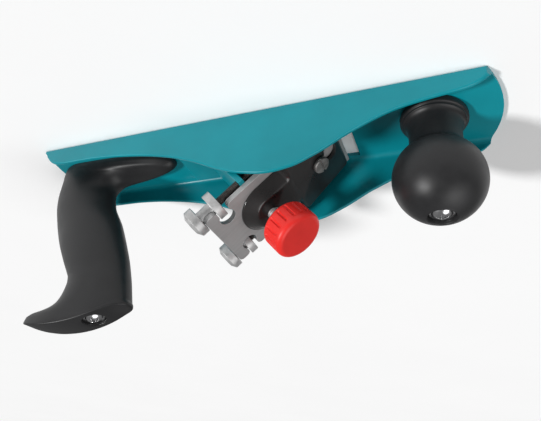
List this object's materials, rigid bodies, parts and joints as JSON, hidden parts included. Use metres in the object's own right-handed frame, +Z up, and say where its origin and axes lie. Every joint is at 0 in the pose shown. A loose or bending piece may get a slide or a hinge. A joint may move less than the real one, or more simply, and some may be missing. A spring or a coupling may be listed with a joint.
{
  "type": "hand plane",
  "caption": "Pressed-steel smoothing plane with wavy side walls, an angled iron under a clamped lever cap, a ball front knob and a horned rear tote.",
  "frame": {"origin": "centre of the sole's length and width, on the plane that the sole rides on", "axes": "+X along the sole towards the toe (front knob), +Y to the left side, +Z up, away from the work"},
  "size_m": [0.235, 0.0468, 0.0948],
  "materials": {
    "body_paint": "gloss",
    "frog_paint": "gloss",
    "iron_steel": "ground",
    "zinc": "bright zinc plate",
    "cap_paint": "satin",
    "handle_plastic": "moulded",
    "knob_plastic": "moulded"
  },
  "bodies": {
    "plane": {"body": "body_paint", "frog": "frog_paint", "fulcrum_screw": "zinc", "fulcrum_nut": "zinc", "front_knob": "handle_plastic", "knob_bolt": "zinc", "knob_washer": "zinc", "knob_insert": "zinc", "tote": "handle_plastic", "tote_bolt": "zinc", "tote_washer": "zinc", "tote_insert": "zinc", "tote_stud": "zinc"},
    "iron": {"iron": "iron_steel"},
    "left_adjuster": {"left_adjuster": "zinc"},
    "right_adjuster": {"right_adjuster": "zinc"},
    "cap": {"lever_cap": "cap_paint", "clamp_nut": "zinc"},
    "clamp_screw": {"clamp_screw": "zinc"},
    "clamp_knob": {"clamp_knob": "knob_plastic"}
  },
  "joints": [
    {"name": "iron_depth", "type": "slide", "parent": "plane", "child": "iron", "axis": [0.7071, 0, -0.7071], "range_m": [-0.002, 0.0066]},
    {"name": "left_adjuster_turn", "type": "hinge", "parent": "iron", "child": "left_adjuster", "pos_m": [-0.00263, 0.0169, 0.04731], "axis": [0.7071, 0, -0.7071], "range_deg": [-1032, 3400]},
    {"name": "right_adjuster_turn", "type": "hinge", "parent": "iron", "child": "right_adjuster", "pos_m": [-0.00263, -0.0169, 0.04731], "axis": [0.7071, 0, -0.7071], "range_deg": [-1032, 3400]},
    {"name": "cap_slide", "type": "slide", "parent": "plane", "child": "cap", "axis": [-0.7071, 0, 0.7071], "range_m": [0, 0.007]},
    {"name": "clamp_lift", "type": "slide", "parent": "cap", "child": "clamp_screw", "axis": [0.7071, 0, 0.7071], "range_m": [0, 0.004]},
    {"name": "clamp_turn", "type": "hinge", "parent": "clamp_screw", "child": "clamp_knob", "pos_m": [0.0132, 0, 0.0359], "axis": [0.7071, 0, 0.7071], "range_deg": [-2, 1442]}
  ],
  "couplings": [
    {"joint": "left_adjuster_turn", "follows": "iron_depth", "rad_per_m": 8976},
    {"joint": "right_adjuster_turn", "follows": "iron_depth", "rad_per_m": 8976},
    {"joint": "clamp_turn", "follows": "clamp_lift", "rad_per_m": 6283.2}
  ]
}
